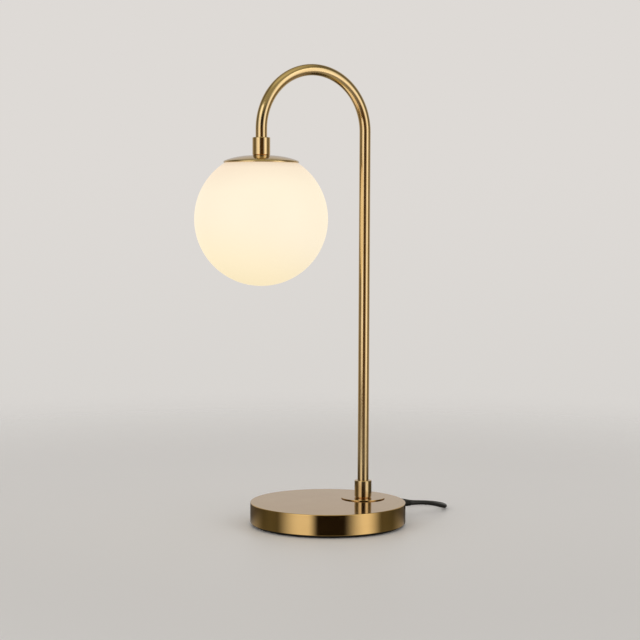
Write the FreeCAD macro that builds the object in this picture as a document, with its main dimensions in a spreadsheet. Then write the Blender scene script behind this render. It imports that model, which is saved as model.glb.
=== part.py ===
"""Glass globe table lamp: an arc of brass tube on a round weighted base, with an opal globe.

Millimetres. The origin is the centre of the foot on the surface the lamp stands on, +Z is up
and +X runs from the centre of the base towards the stem. The globe hangs over the -X side.
"""
import FreeCAD, Part
import Sketcher
import math
import os
from FreeCAD import Placement, Rotation, Vector

DOCUMENT = FreeCAD.newDocument("globe_lamp")
SHEET = DOCUMENT.addObject("Spreadsheet::Sheet", "sizes")

# Driving dimensions: alias and value. Heights are measured from the resting surface.
DRIVING = [
    ("base_radius", 90.0), ("base_top", 26.5), ("base_bottom", 3.0), ("base_chamfer", 2.0),
    ("shell_wall", 1.5), ("shell_gap", 0.4),
    ("weight_bottom", 5.8), ("cavity_radius", 62.0), ("cavity_top", 15.0), ("slot_half_width", 6.5),
    ("slot_top", 20.6), ("cover_radius", 86.0), ("cover_thickness", 1.2),
    ("foot_outer", 85.0), ("foot_hole", 4.6), ("cover_screw_circle", 69.0),
    ("foot_edge", 0.6), ("screw_radius", 1.9), ("screw_head_radius", 3.5), ("screw_head_height", 1.9),
    ("screw_reach", 8.0), ("screw_edge", 0.5), ("screw_play", 0.15), ("slot_start", 58.0),
    ("stem_offset", 48.1), ("tube_radius", 6.5), ("tube_wall", 1.0),
    ("arch_radius", 68.6), ("arch_springing", 454.4), ("tube_gap", 0.1),
    ("plate_radius", 25.5), ("plate_thickness", 1.2), ("plate_edge", 0.4),
    ("collar_radius", 10.0), ("collar_length", 20.2), ("collar_seat", 12.0), ("collar_edge", 0.8),
    ("groove_height", 1.4), ("groove_width", 0.7), ("groove_depth", 0.5), ("seat_play", 0.05),
    ("thread_radius", 5.0), ("nipple_bore", 3.4), ("thread_play", 0.06), ("hole_play", 0.2),
    ("nut_across", 17.0), ("nut_height", 4.0), ("washer_radius", 9.0), ("washer_thickness", 1.0),
    ("rod_proud", 0.8), ("rod_short", 0.4),
    ("cap_radius", 42.5), ("cap_rim", 416.5), ("cap_lip", 417.3), ("cap_top", 424.6),
    ("cap_flat", 10.2), ("cap_shoulder", 35.0), ("cap_inner_shoulder", 34.7), ("cap_shoulder_height", 421.0),
    ("cap_dome", 87.2), ("cap_edge", 12.0), ("cap_wall", 1.0),
    ("globe_radius", 75.0), ("globe_wall", 3.0), ("globe_centre", 353.5), ("globe_cut", 417.0),
    ("mouth_radius", 35.0), ("gasket_inner", 35.4), ("gasket_outer", 38.0), ("gasket_thickness", 2.18),
    ("gasket_gap", 0.02),
    ("carrier_radius", 29.0), ("carrier_sheet", 0.8), ("cap_washer_height", 3.0),
    ("clip_width", 12.0), ("clip_reach", 34.1), ("clip_drop", 14.0), ("clip_tip", 24.0), ("clip_lap", 2.0),
    ("clip_bend", 1.2), ("clip_waist", 1.4), ("clip_rise", 6.0), ("clip_toe", 4.0),
    ("cup_radius", 14.0), ("cup_depth", 32.0), ("cup_wall", 0.8), ("cup_round", 1.5),
    ("holder_rise", 0.5), ("holder_radius", 11.0), ("holder_height", 21.0), ("holder_step_low", 5.0),
    ("holder_step_high", 10.0), ("holder_slope", 1.0), ("pin_spacing", 9.0), ("pin_radius", 0.7),
    ("pin_reach", 6.0), ("pin_sunk", 2.0), ("pin_well_radius", 1.6), ("pin_well_depth", 12.0),
    ("grip_outer", 1.45), ("grip_length", 9.0), ("grip_rise", 2.0), ("bulb_gap", 0.3), ("bulb_radius", 8.5),
    ("bulb_length", 50.0), ("bulb_wall", 0.8), ("bulb_neck", 5.4), ("bulb_shoulder", 2.2),
    ("bulb_foot_height", 9.0), ("bulb_foot_radius", 7.6), ("bulb_foot_bevel", 1.2), ("bulb_foot_edge", 0.6),
    ("bulb_foot_flat", 5.9), ("bulb_foot_rim", 2.5), ("led_radius", 3.4), ("led_length", 38.0),
    ("led_tip", 1.0),
    ("block_length", 22.0), ("block_width", 16.0), ("block_height", 7.5), ("block_place", 15.0),
    ("barrel_spacing", 8.0), ("barrel_height", 3.4), ("barrel_radius", 1.5), ("well_spacing", 12.0),
    ("well_depth", 3.2), ("block_screw_height", 1.6), ("block_screw_depth", 0.4), ("clamp_place", 68.0),
    ("clamp_length", 7.0), ("clamp_half_width", 6.2), ("clamp_half_height", 4.3),
    ("cord_radius", 2.5), ("exit_height", 14.75), ("bush_length", 25.0), ("bush_root", 4.4),
    ("bush_tip", 2.95), ("bush_bore", 2.55), ("bush_neck", 3.4), ("bush_flange", 3.4), ("bush_shoulder", 2.0),
    ("rib_start", 5.0), ("rib_pitch", 4.6), ("rib_width", 1.6), ("rib_depth", 0.55),
    ("core_radius", 0.9), ("floor_play", 0.05), ("sheath_end", 112.0), ("wire_low", 7.0), ("wire_bend", 4.5),
    ("switch_length", 50.0), ("switch_width", 20.0), ("switch_height", 13.0), ("switch_split", 6.4),
    ("switch_wall", 1.6), ("switch_corner", 7.0), ("lid_round", 1.5), ("switch_screw_place", 16.0),
    ("switch_screw_reach", 8.0), ("screw_seat_depth", 0.95), ("screw_seat_radius", 2.4),
    ("boss_radius", 2.6), ("boss_hole", 1.2), ("post_width", 4.8), ("post_near", 4.5), ("post_far", 6.5),
    ("post_height", 10.4), ("pin_play", 0.05), ("rocker_width", 8.0), ("rocker_play", 0.35),
    ("rocker_radius", 8.3), ("rocker_pin", 1.2), ("rocker_foot", 0.6), ("rocker_hub", 2.2),
    ("rocker_end", 5.6), ("rocker_dip", 4.8), ("rocker_hollow", 40.0), ("pivot_height", 8.6),
    ("contact_near", 6.5), ("contact_far", 12.5), ("contact_half", 3.0), ("contact_sheet", 0.8),
    ("sleeve_length", 12.0), ("sleeve_root", 4.0), ("stub_reach", 20.4), ("stub_end", 36.0),
    ("plug_length", 34.0), ("plug_width", 24.0), ("plug_height", 11.0), ("plug_tail", 14.0),
    ("plug_back", 6.6), ("plug_waist", 9.6), ("plug_waist_place", 18.7), ("plug_shoulder", 5.0),
    ("plug_hollow", 60.0), ("plug_round", 2.0),
    ("blade_length", 17.0), ("blade_width", 6.3), ("blade_thickness", 1.5), ("blade_taper", 1.5),
    ("blade_spacing", 12.7),
    ("coil_radius", 40.0), ("coil_pitch", 5.54), ("coil_layer", 5.55),
]


class Size:
    """A number together with the sheet expression that gives it."""

    def __init__(self, number, text):
        self.number = number
        self.text = text

    def __add__(self, other):
        return joined(self, "+", other, self.number + plain(other))

    def __radd__(self, other):
        return joined(other, "+", self, plain(other) + self.number)

    def __sub__(self, other):
        return joined(self, "-", other, self.number - plain(other))

    def __rsub__(self, other):
        return joined(other, "-", self, plain(other) - self.number)

    def __mul__(self, other):
        return joined(self, "*", other, self.number * plain(other))

    def __rmul__(self, other):
        return joined(other, "*", self, plain(other) * self.number)

    def __truediv__(self, other):
        return joined(self, "/", other, self.number / plain(other))

    def __neg__(self):
        return Size(-self.number, "(-" + self.text + ")")


def plain(value):
    return value.number if isinstance(value, Size) else float(value)


def written(value):
    return value.text if isinstance(value, Size) else "(%.9g)" % value


def joined(left, sign, right, number):
    return Size(number, "(" + written(left) + " " + sign + " " + written(right) + ")")


def leg(longest, side):
    """The third side of a right-angled triangle."""
    number = math.sqrt(plain(longest) ** 2 - plain(side) ** 2)
    return Size(number, "sqrt(" + written(longest * longest) + " - " + written(side * side) + ")")


class Sizes:
    """The sheet's cells as Size values, one attribute per alias."""

    def __init__(self, rows):
        for number, (alias, value) in enumerate(rows, start=1):
            SHEET.set("A%d" % number, alias)
            SHEET.set("B%d" % number, "%g" % value)
            SHEET.setAlias("B%d" % number, alias)
            setattr(self, alias, Size(value, "sizes." + alias))


S = Sizes(DRIVING)
DOCUMENT.recompute()
SUB_PARTS = []


def bind(thing, name, value):
    """Ties one property to the sheet."""
    thing.setExpression(name, written(value))


def place(thing, x=0, y=0, z=0, turn=0.0):
    """Puts a sub-part in the lamp's frame and ties the place to the sheet."""
    thing.Placement = Placement(Vector(plain(x), plain(y), plain(z)), Rotation(Vector(0, 0, 1), turn))
    for axis, value in (("x", x), ("y", y), ("z", z)):
        if isinstance(value, Size):
            bind(thing, "Placement.Base." + axis, value)


def new_body(label):
    body = DOCUMENT.addObject("PartDesign::Body", label)
    body.Label = label
    body.AllowCompound = True
    SUB_PARTS.append(body)
    return body


def origin_plane(body, role):
    return next(item for item in body.Origin.OriginFeatures if item.Role == role)


def new_sketch(body, plane, name):
    sketch = body.newObject("Sketcher::SketchObject", name)
    sketch.AttachmentSupport = (origin_plane(body, plane), [""])
    sketch.MapMode = "FlatFace"
    return sketch


def fix_point(sketch, curve, end, x, y):
    """Fixes a sketch point at x and y, each a size or a number."""
    for kind, axis, value in (("DistanceX", -2, x), ("DistanceY", -1, y)):
        if plain(value) == 0.0:
            sketch.addConstraint(Sketcher.Constraint("PointOnObject", curve, end, axis))
        else:
            index = sketch.addConstraint(Sketcher.Constraint(kind, -1, 1, curve, end, plain(value)))
            if isinstance(value, Size):
                bind(sketch, "Constraints[%d]" % index, value)


def arc_between(start, end, radius):
    """An arc under half a turn; a positive radius bulges to the right of start to end."""
    chord = end - start
    middle = (start + end) / 2
    left = Vector(-chord.y, chord.x, 0).normalize()
    rise = math.sqrt(radius * radius - chord.Length * chord.Length / 4)
    centre = middle + left * (rise if radius > 0 else -rise)
    first = math.atan2(start.y - centre.y, start.x - centre.x)
    last = math.atan2(end.y - centre.y, end.x - centre.x)
    circle = Part.Circle(centre, Vector(0, 0, 1), abs(radius))
    return Part.ArcOfCircle(circle, first, last) if radius > 0 else Part.ArcOfCircle(circle, last, first)


def outline(body, plane, corners, arcs=None, name="outline"):
    """A closed outline through corners; arcs gives a radius for the side after a corner."""
    arcs = arcs or {}
    sketch = new_sketch(body, plane, body.Name + "_" + name)
    points = [Vector(plain(x), plain(y), 0) for x, y in corners]
    ends = []
    for side, start in enumerate(points):
        end = points[(side + 1) % len(points)]
        if side in arcs:
            radius = arcs[side]
            curve = sketch.addGeometry(arc_between(start, end, plain(radius)), False)
            ends.append((1, 2) if plain(radius) > 0 else (2, 1))
            index = sketch.addConstraint(Sketcher.Constraint("Radius", curve, abs(plain(radius))))
            size = -radius if plain(radius) < 0 and isinstance(radius, Size) else radius
            if isinstance(size, Size):
                bind(sketch, "Constraints[%d]" % index, size)
        else:
            sketch.addGeometry(Part.LineSegment(start, end), False)
            ends.append((1, 2))
    for side in range(len(points)):
        after = (side + 1) % len(points)
        sketch.addConstraint(Sketcher.Constraint("Coincident", side, ends[side][1], after, ends[after][0]))
    for side, (x, y) in enumerate(corners):
        fix_point(sketch, side, ends[side][0], x, y)
    return sketch


def circles(body, plane, rows, name="circles"):
    """Circles given as x, y and radius."""
    sketch = new_sketch(body, plane, body.Name + "_" + name)
    for curve, (x, y, radius) in enumerate(rows):
        centre = Vector(plain(x), plain(y), 0)
        sketch.addGeometry(Part.Circle(centre, Vector(0, 0, 1), plain(radius)), False)
        index = sketch.addConstraint(Sketcher.Constraint("Radius", curve, plain(radius)))
        if isinstance(radius, Size):
            bind(sketch, "Constraints[%d]" % index, radius)
        fix_point(sketch, curve, 3, x, y)
    return sketch


def rectangle(body, plane, low_x, low_y, high_x, high_y, name="rectangle"):
    corners = [(low_x, low_y), (high_x, low_y), (high_x, high_y), (low_x, high_y)]
    return outline(body, plane, corners, name=name)


def revolve(body, sketch):
    turned = body.newObject("PartDesign::Revolution", body.Name + "_turned")
    turned.Profile = sketch
    turned.ReferenceAxis = (sketch, ["V_Axis"])
    turned.Angle = 360
    return turned


def pad(body, sketch, length, midplane=False, start=None):
    padded = body.newObject("PartDesign::Pad", body.Name + "_pad")
    padded.Profile = sketch
    bind(padded, "Length", length)
    padded.Length = plain(length)
    padded.Midplane = midplane
    if start is not None:
        raise_sketch(sketch, start)
    return padded


def raise_sketch(sketch, height):
    """Lifts a sketch off its plane along the plane's normal."""
    sketch.AttachmentOffset = Placement(Vector(0, 0, plain(height)), Rotation())
    if isinstance(height, Size):
        bind(sketch, "AttachmentOffset.Base.z", height)


def pocket(body, sketch, depth, start=None, reverse=True, midplane=False):
    """Cuts from the sketch upwards, or downwards with reverse False."""
    cut = body.newObject("PartDesign::Pocket", body.Name + "_pocket")
    cut.Profile = sketch
    bind(cut, "Length", depth)
    cut.Length = plain(depth)
    cut.Reversed = reverse
    cut.Midplane = midplane
    if start is not None:
        raise_sketch(sketch, start)
    return cut


def around(body, feature, count):
    """Repeats a feature round the body's Z axis."""
    pattern = body.newObject("PartDesign::PolarPattern", body.Name + "_pattern")
    pattern.Originals = [feature]
    pattern.Axis = (origin_plane(body, "Z_Axis"), [""])
    pattern.Angle = 360
    pattern.Occurrences = count
    body.Tip = pattern
    return pattern


def level(edge):
    return all(abs(vertex.Z - edge.Vertexes[0].Z) < 1e-6 for vertex in edge.Vertexes)


def soften(body, radius, chosen):
    """Rounds the edges of a body that the test chooses."""
    DOCUMENT.recompute()
    base = body.Tip
    edges = ["Edge%d" % number for number, edge in enumerate(base.Shape.Edges, start=1) if chosen(edge)]
    rounded = body.newObject("PartDesign::Fillet", body.Name + "_soft")
    rounded.Base = (base, edges)
    rounded.Radius = plain(radius)
    return rounded


def ring(label, inner, outer, height):
    """A washer-like ring that stands on its own frame's XY plane."""
    body = new_body(label)
    corners = [(inner, 0), (outer, 0), (outer, height), (inner, height)]
    revolve(body, outline(body, "XZ_Plane", corners))
    return body


# ---------------------------------------------------------------- base

def base_shell():
    """Spun brass shell with a small bevel, a hole for the stem and one for the cord."""
    body = new_body("base_shell")
    inside = S.base_radius - S.shell_wall
    ceiling = S.base_top - S.shell_wall
    corners = [(0, ceiling), (inside, ceiling), (inside, S.base_bottom), (S.base_radius, S.base_bottom),
               (S.base_radius, S.base_top - S.base_chamfer),
               (S.base_radius - S.base_chamfer, S.base_top), (0, S.base_top)]
    revolve(body, outline(body, "XZ_Plane", corners))
    stem_hole = circles(body, "XY_Plane", [(S.stem_offset, 0, S.thread_radius + S.hole_play)], "stem_hole")
    pocket(body, stem_hole, S.shell_wall * 3, start=ceiling - S.shell_wall)
    cord_hole = circles(body, "YZ_Plane", [(0, S.exit_height, S.bush_neck + S.hole_play / 2)], "cord_hole")
    pocket(body, cord_hole, S.shell_wall * 4, start=inside - S.shell_wall)
    return body


def base_weight():
    """Cast-iron disc: full height at its rim, hollow below for the wiring, slotted for the cord."""
    body = new_body("base_weight")
    rim = S.base_radius - S.shell_wall - S.shell_gap
    top = S.base_top - S.shell_wall - S.shell_gap / 4
    bevel = S.base_chamfer
    corners = [(0, S.cavity_top), (S.cavity_radius, S.cavity_top), (S.cavity_radius, S.weight_bottom),
               (rim, S.weight_bottom), (rim, top - bevel), (rim - bevel, top), (0, top)]
    revolve(body, outline(body, "XZ_Plane", corners))
    stem_hole = circles(body, "XY_Plane", [(S.stem_offset, 0, S.thread_radius + S.hole_play)], "stem_hole")
    pocket(body, stem_hole, S.base_top, start=S.weight_bottom)
    half = S.slot_half_width
    slot = rectangle(body, "XY_Plane", S.slot_start, -half, S.base_radius, half, "slot")
    pocket(body, slot, S.slot_top - S.weight_bottom, start=S.weight_bottom)
    hole = circles(body, "XY_Plane", [(-S.cover_screw_circle, 0, S.screw_radius)], "screw_hole")
    drilled = pocket(body, hole, S.screw_reach * 1.1, start=S.weight_bottom)
    around(body, drilled, 3)
    return body


def bottom_cover():
    """Pressed steel plate that closes the hollow, drilled for three screws."""
    body = new_body("bottom_cover")
    pad(body, circles(body, "XY_Plane", [(0, 0, S.cover_radius)]), S.cover_thickness)
    rows = [(-S.cover_screw_circle, 0, S.screw_radius + S.hole_play / 2)]
    hole = circles(body, "XY_Plane", rows, "screw_hole")
    around(body, pocket(body, hole, S.cover_thickness, start=0), 3)
    place(body, z=S.weight_bottom - S.cover_thickness)
    return body


def foot_pad():
    """Black cushioned disc that the lamp stands on, set in from the edge, with screw holes."""
    body = new_body("foot_pad")
    edge = S.foot_edge
    height = S.weight_bottom - S.cover_thickness
    corners = [(0, 0), (S.foot_outer - edge, 0), (S.foot_outer, edge), (S.foot_outer, height), (0, height)]
    revolve(body, outline(body, "XZ_Plane", corners))
    hole = circles(body, "XY_Plane", [(-S.cover_screw_circle, 0, S.foot_hole)], "screw_hole")
    around(body, pocket(body, hole, height, start=0), 3)
    return body


def screw_outline(body, centre, under_head, reach, shank, head, head_height):
    """Half outline of a round-head screw that points up, centred on x = centre."""
    low = under_head - head_height
    top = under_head + reach
    wide = centre + head
    narrow = centre + shank
    corners = [(centre, low), (wide - S.screw_edge, low), (wide, low + S.screw_edge), (wide, under_head),
               (narrow, under_head), (narrow, top), (centre, top)]
    return outline(body, "XZ_Plane", corners)


def screws_around(label, circle_radius, under_head, reach, shank, head, head_height, count):
    """Screws on a circle, each a solid of its own, made by turning one and repeating it."""
    body = new_body(label)
    sketch = screw_outline(body, circle_radius, under_head, reach, shank, head, head_height)
    centre = plain(circle_radius)
    line = Part.LineSegment(Vector(centre, -plain(reach), 0), Vector(centre, plain(reach), 0))
    axis = sketch.addGeometry(line, True)
    fix_point(sketch, axis, 1, circle_radius, -reach)
    fix_point(sketch, axis, 2, circle_radius, reach)
    turned = body.newObject("PartDesign::Revolution", label + "_turned")
    turned.Profile = sketch
    turned.ReferenceAxis = (sketch, ["Axis0"])
    turned.Angle = 360
    around(body, turned, count)
    return body


def cover_screws():
    shank = S.screw_radius - S.screw_play
    body = screws_around("cover_screws", S.cover_screw_circle, 0, S.screw_reach, shank,
                         S.screw_head_radius, S.screw_head_height, 3)
    place(body, z=S.weight_bottom - S.cover_thickness, turn=180.0)
    return body


def stem_plate():
    """Thin round plate under the stem."""
    body = new_body("stem_plate")
    edge = S.plate_edge
    bore = S.thread_radius + S.hole_play
    corners = [(bore, 0), (S.plate_radius, 0), (S.plate_radius, S.plate_thickness - edge),
               (S.plate_radius - edge, S.plate_thickness), (bore, S.plate_thickness)]
    revolve(body, outline(body, "XZ_Plane", corners))
    place(body, x=S.stem_offset, z=S.base_top)
    return body


def collar_outline(body):
    """Turned collar: threaded at its foot, bored to seat the tube, grooved near the foot."""
    bore = S.thread_radius
    seat = S.tube_radius + S.seat_play
    floor = S.collar_length - S.collar_seat
    wide = S.collar_radius
    neck = wide - S.groove_depth
    edge = S.collar_edge
    corners = [(bore, 0), (wide, 0), (wide, S.groove_height), (neck, S.groove_height),
               (neck, S.groove_height + S.groove_width), (wide, S.groove_height + S.groove_width),
               (wide, S.collar_length - edge), (wide - edge, S.collar_length), (seat, S.collar_length),
               (seat, floor), (bore, floor)]
    return outline(body, "XZ_Plane", corners, arcs={6: edge})


def lower_collar():
    body = new_body("lower_collar")
    revolve(body, collar_outline(body))
    place(body, x=S.stem_offset, z=S.base_top + S.plate_thickness)
    return body


def nipple(label, x, low, high):
    """Hollow threaded rod that clamps a stack and carries the wires."""
    body = ring(label, S.nipple_bore, S.thread_radius - S.thread_play, high - low)
    place(body, x=x, z=low)
    return body


def hex_nut(label, x, low):
    body = new_body(label)
    reach = S.nut_across / math.sqrt(3)
    turns = [math.radians(60 * side + 30) for side in range(6)]
    corners = [(reach * math.cos(turn), reach * math.sin(turn)) for turn in turns]
    corners = [(0 if abs(plain(a)) < 1e-9 else a, 0 if abs(plain(b)) < 1e-9 else b) for a, b in corners]
    pad(body, outline(body, "XY_Plane", corners), S.nut_height)
    pocket(body, circles(body, "XY_Plane", [(0, 0, S.thread_radius)], "bore"), S.nut_height, start=0)
    place(body, x=x, z=low)
    return body


def stem_clamp():
    """The rod, washer and nut that hold the collar, plate, shell and weight together."""
    washer_low = S.cavity_top - S.washer_thickness
    nut_low = washer_low - S.nut_height
    seat = S.base_top + S.plate_thickness + S.collar_length - S.collar_seat
    nipple("stem_rod", S.stem_offset, nut_low - S.rod_proud, seat - S.rod_short)
    washer = ring("stem_washer", S.thread_radius + S.hole_play, S.washer_radius, S.washer_thickness)
    place(washer, x=S.stem_offset, z=washer_low)
    hex_nut("stem_nut", S.stem_offset, nut_low)


def block_floor():
    return S.cavity_top - S.block_height - S.hole_play


def terminal_block():
    """Two-way block under the roof of the hollow; its barrels run along Y."""
    body = new_body("terminal_block")
    half_width = S.block_width / 2
    half_length = S.block_length / 2
    pad(body, rectangle(body, "XY_Plane", -half_width, -half_length, half_width, half_length), S.block_height)
    beside = S.barrel_spacing / 2
    rows = [(-beside, S.barrel_height, S.barrel_radius), (beside, S.barrel_height, S.barrel_radius)]
    pocket(body, circles(body, "XZ_Plane", rows, "barrels"), S.block_length * 1.1, midplane=True)
    wells = circles(body, "XY_Plane", block_wells(S.barrel_radius + S.seat_play), "wells")
    pocket(body, wells, S.well_depth, start=0)
    place(body, x=S.block_place, z=block_floor())
    return body


def block_wells(radius):
    """Centres of the four screws, two on each barrel."""
    return [(S.barrel_spacing * 0.5 * a, S.well_spacing * 0.5 * b, radius) for a in (-1, 1) for b in (-1, 1)]


def terminal_screws():
    body = new_body("terminal_screws")
    pad(body, circles(body, "XY_Plane", block_wells(S.barrel_radius - S.hole_play / 2)), S.block_screw_height)
    place(body, x=S.block_place, z=block_floor() + S.block_screw_depth)
    return body


def cord_clamp():
    """Block in the slot that grips the end of the sheath."""
    body = new_body("cord_clamp")
    aside = S.clamp_half_width
    rise = S.clamp_half_height
    pad(body, rectangle(body, "YZ_Plane", -aside, -rise, aside, rise), S.clamp_length)
    pocket(body, circles(body, "YZ_Plane", [(0, 0, S.bush_bore)], "bore"), S.clamp_length, start=0)
    place(body, x=S.clamp_place, z=S.exit_height)
    return body


def cord_bush():
    """Rubber strain relief: a flange inside the shell, a neck through it and a ribbed tapered sleeve."""
    body = new_body("cord_bush")
    root = S.bush_root
    neck = S.bush_neck
    inside = S.shell_wall + S.hole_play
    outside = S.hole_play / 2
    corners = [(S.bush_bore, -S.bush_flange), (root, -S.bush_flange), (root, -inside), (neck, -inside),
               (neck, outside), (root, outside), (root, S.bush_shoulder), (S.bush_tip, S.bush_length),
               (S.bush_bore, S.bush_length)]
    revolve(body, outline(body, "XZ_Plane", corners))
    slope = plain(root - S.bush_tip) / plain(S.bush_length - S.bush_shoulder)
    for index in range(4):
        low = S.rib_start + S.rib_pitch * index
        inner = root - slope * (low - S.bush_shoulder) - S.rib_depth
        sketch = rectangle(body, "XZ_Plane", inner, low, root * 1.2, low + S.rib_width, "groove_%d" % index)
        groove = body.newObject("PartDesign::Groove", "bush_groove_%d" % index)
        groove.Profile = sketch
        groove.ReferenceAxis = (sketch, ["V_Axis"])
        groove.Angle = 360
    body.Placement = Placement(Vector(plain(S.base_radius), 0, plain(S.exit_height)),
                               Rotation(Vector(0, 1, 0), 90))
    bind(body, "Placement.Base.x", S.base_radius)
    bind(body, "Placement.Base.z", S.exit_height)
    return body


# ---------------------------------------------------------------- stem and head

def head_x():
    return S.stem_offset - S.arch_radius * 2


def tube_foot():
    return S.base_top + S.plate_thickness + S.collar_length - S.collar_seat + S.tube_gap


def tube_end():
    return S.cap_top + S.collar_length - S.collar_seat + S.tube_gap


def arc_tube():
    """One length of brass tube: stem, half-circle arch and short drop to the cap."""
    body = new_body("arc_tube")
    rise = S.arch_springing - tube_foot()
    drop = tube_end() - tube_foot()
    spine = new_sketch(body, "XZ_Plane", "arc_tube_spine")
    top = plain(rise)
    span = plain(S.arch_radius) * 2
    spine.addGeometry(Part.LineSegment(Vector(0, 0, 0), Vector(0, top, 0)), False)
    half = Part.Circle(Vector(-span / 2, top, 0), Vector(0, 0, 1), span / 2)
    spine.addGeometry(Part.ArcOfCircle(half, 0, math.pi), False)
    spine.addGeometry(Part.LineSegment(Vector(-span, top, 0), Vector(-span, plain(drop), 0)), False)
    spine.addConstraint(Sketcher.Constraint("Coincident", 0, 2, 1, 1))
    spine.addConstraint(Sketcher.Constraint("Coincident", 1, 2, 2, 1))
    fix_point(spine, 0, 1, 0, 0)
    fix_point(spine, 0, 2, 0, rise)
    fix_point(spine, 1, 3, -S.arch_radius, rise)
    index = spine.addConstraint(Sketcher.Constraint("DistanceY", -1, 1, 1, 2, top))
    bind(spine, "Constraints[%d]" % index, rise)
    fix_point(spine, 2, 2, -S.arch_radius * 2, drop)
    rows = [(0, 0, S.tube_radius), (0, 0, S.tube_radius - S.tube_wall)]
    section = circles(body, "XY_Plane", rows, "section")
    pipe = body.newObject("PartDesign::AdditivePipe", "arc_tube_pipe")
    pipe.Profile = section
    pipe.Spine = (spine, ["Edge1", "Edge2", "Edge3"])
    place(body, x=S.stem_offset, z=tube_foot())
    return body


def upper_collar():
    body = new_body("upper_collar")
    revolve(body, collar_outline(body))
    place(body, x=head_x(), z=S.cap_top)
    return body


def shade_cap():
    """Shallow spun cap: flat crown under the collar, domed shoulder and a turned-down rim."""
    body = new_body("shade_cap")
    wall = S.cap_wall
    bore = S.thread_radius + S.hole_play
    corners = [(bore, S.cap_top - wall), (S.cap_flat, S.cap_top - wall),
               (S.cap_inner_shoulder, S.cap_shoulder_height - wall),
               (S.cap_radius - wall, S.cap_lip), (S.cap_radius - wall, S.cap_rim), (S.cap_radius, S.cap_rim),
               (S.cap_radius, S.cap_lip), (S.cap_shoulder, S.cap_shoulder_height),
               (S.cap_flat, S.cap_top), (bore, S.cap_top)]
    arcs = {1: -(S.cap_dome - wall), 2: -(S.cap_edge - wall), 6: S.cap_edge, 7: S.cap_dome}
    revolve(body, outline(body, "XZ_Plane", corners, arcs))
    place(body, x=head_x())
    return body


def cap_gasket():
    body = ring("cap_gasket", S.gasket_inner, S.gasket_outer, S.gasket_thickness)
    place(body, x=head_x(), z=S.globe_cut + S.gasket_gap)
    return body


def globe_carrier():
    """Spring-steel disc with three leaf clips that grip the mouth of the globe."""
    body = new_body("globe_carrier")
    sheet = S.carrier_sheet
    rows = [(0, 0, S.carrier_radius), (0, 0, S.thread_radius + S.hole_play)]
    pad(body, circles(body, "XY_Plane", rows, "disc"), sheet)
    root = S.carrier_radius - S.clip_lap
    bend = S.carrier_radius + S.clip_bend
    bow = S.clip_reach - sheet
    waist = S.clip_reach - S.clip_waist
    toe = S.clip_reach - S.clip_toe
    drop = S.clip_drop
    rise = S.clip_rise - drop
    tip = -S.clip_tip
    corners = [(root, 0), (bend, 0), (waist, rise), (bow, -drop), (toe, tip), (toe + sheet, tip),
               (bow + sheet, -drop), (waist + sheet, rise), (bend + sheet, sheet), (root, sheet)]
    leaf = pad(body, outline(body, "XZ_Plane", corners, name="leaf"), S.clip_width, midplane=True)
    around(body, leaf, 3)
    place(body, x=head_x(), z=S.cap_top - S.cap_wall - S.cap_washer_height - sheet, turn=30.0)
    return body


def cap_washer():
    """Thick washer that keeps the flat carrier clear of the domed cap."""
    body = ring("cap_washer", S.thread_radius + S.hole_play, S.washer_radius, S.cap_washer_height)
    place(body, x=head_x(), z=S.cap_top - S.cap_wall - S.cap_washer_height)
    return body


def holder_cup():
    """Pressed cup under the carrier that holds the lamp holder."""
    body = new_body("holder_cup")
    wall = S.cup_wall
    depth = S.cup_depth
    corners = [(S.thread_radius + S.hole_play, -wall), (S.cup_radius - wall, -wall),
               (S.cup_radius - wall, -depth), (S.cup_radius, -depth), (S.cup_radius, -S.cup_round),
               (S.cup_radius - S.cup_round, 0), (S.thread_radius + S.hole_play, 0)]
    revolve(body, outline(body, "XZ_Plane", corners, arcs={4: S.cup_round}))
    place(body, x=head_x(), z=cup_top())
    return body


def cup_top():
    return S.cap_top - S.cap_wall - S.cap_washer_height - S.carrier_sheet


def head_clamp():
    """The rod and nut that hold the collar, cap, carrier and cup together."""
    nut_low = cup_top() - S.cup_wall - S.nut_height
    seat = S.cap_top + S.collar_length - S.collar_seat
    nipple("head_rod", head_x(), nut_low - S.rod_proud, seat - S.rod_short)
    hex_nut("head_nut", head_x(), nut_low)


def holder_low():
    return cup_top() - S.cup_depth + S.holder_rise


def pin_pair(radius):
    """Circles of that radius at the two pins."""
    return [(S.pin_spacing / 2, 0, radius), (-S.pin_spacing / 2, 0, radius)]


def holder_body():
    """Ceramic two-pin lamp holder with a pair of pin slots and a step that seats in the cup."""
    body = new_body("holder_body")
    step = S.cup_radius - S.cup_wall - S.hole_play / 2
    slope = S.holder_slope
    neck = S.holder_radius - slope
    corners = [(0, 0), (S.holder_radius, 0), (S.holder_radius, S.holder_step_low),
               (step, S.holder_step_low + slope), (step, S.holder_step_high),
               (neck, S.holder_step_high + slope), (neck, S.holder_height), (0, S.holder_height)]
    revolve(body, outline(body, "XZ_Plane", corners))
    wells = circles(body, "XY_Plane", pin_pair(S.pin_well_radius), "pin_wells")
    pocket(body, wells, S.pin_well_depth, start=0)
    place(body, x=head_x(), z=holder_low())
    return body


def holder_contacts():
    """Spring sleeves in the two slots of the holder."""
    body = new_body("holder_contacts")
    rows = pin_pair(S.grip_outer) + pin_pair(S.pin_radius + S.hole_play / 2)
    pad(body, circles(body, "XY_Plane", rows), S.grip_length)
    place(body, x=head_x(), z=holder_low() + S.grip_rise)
    return body


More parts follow.
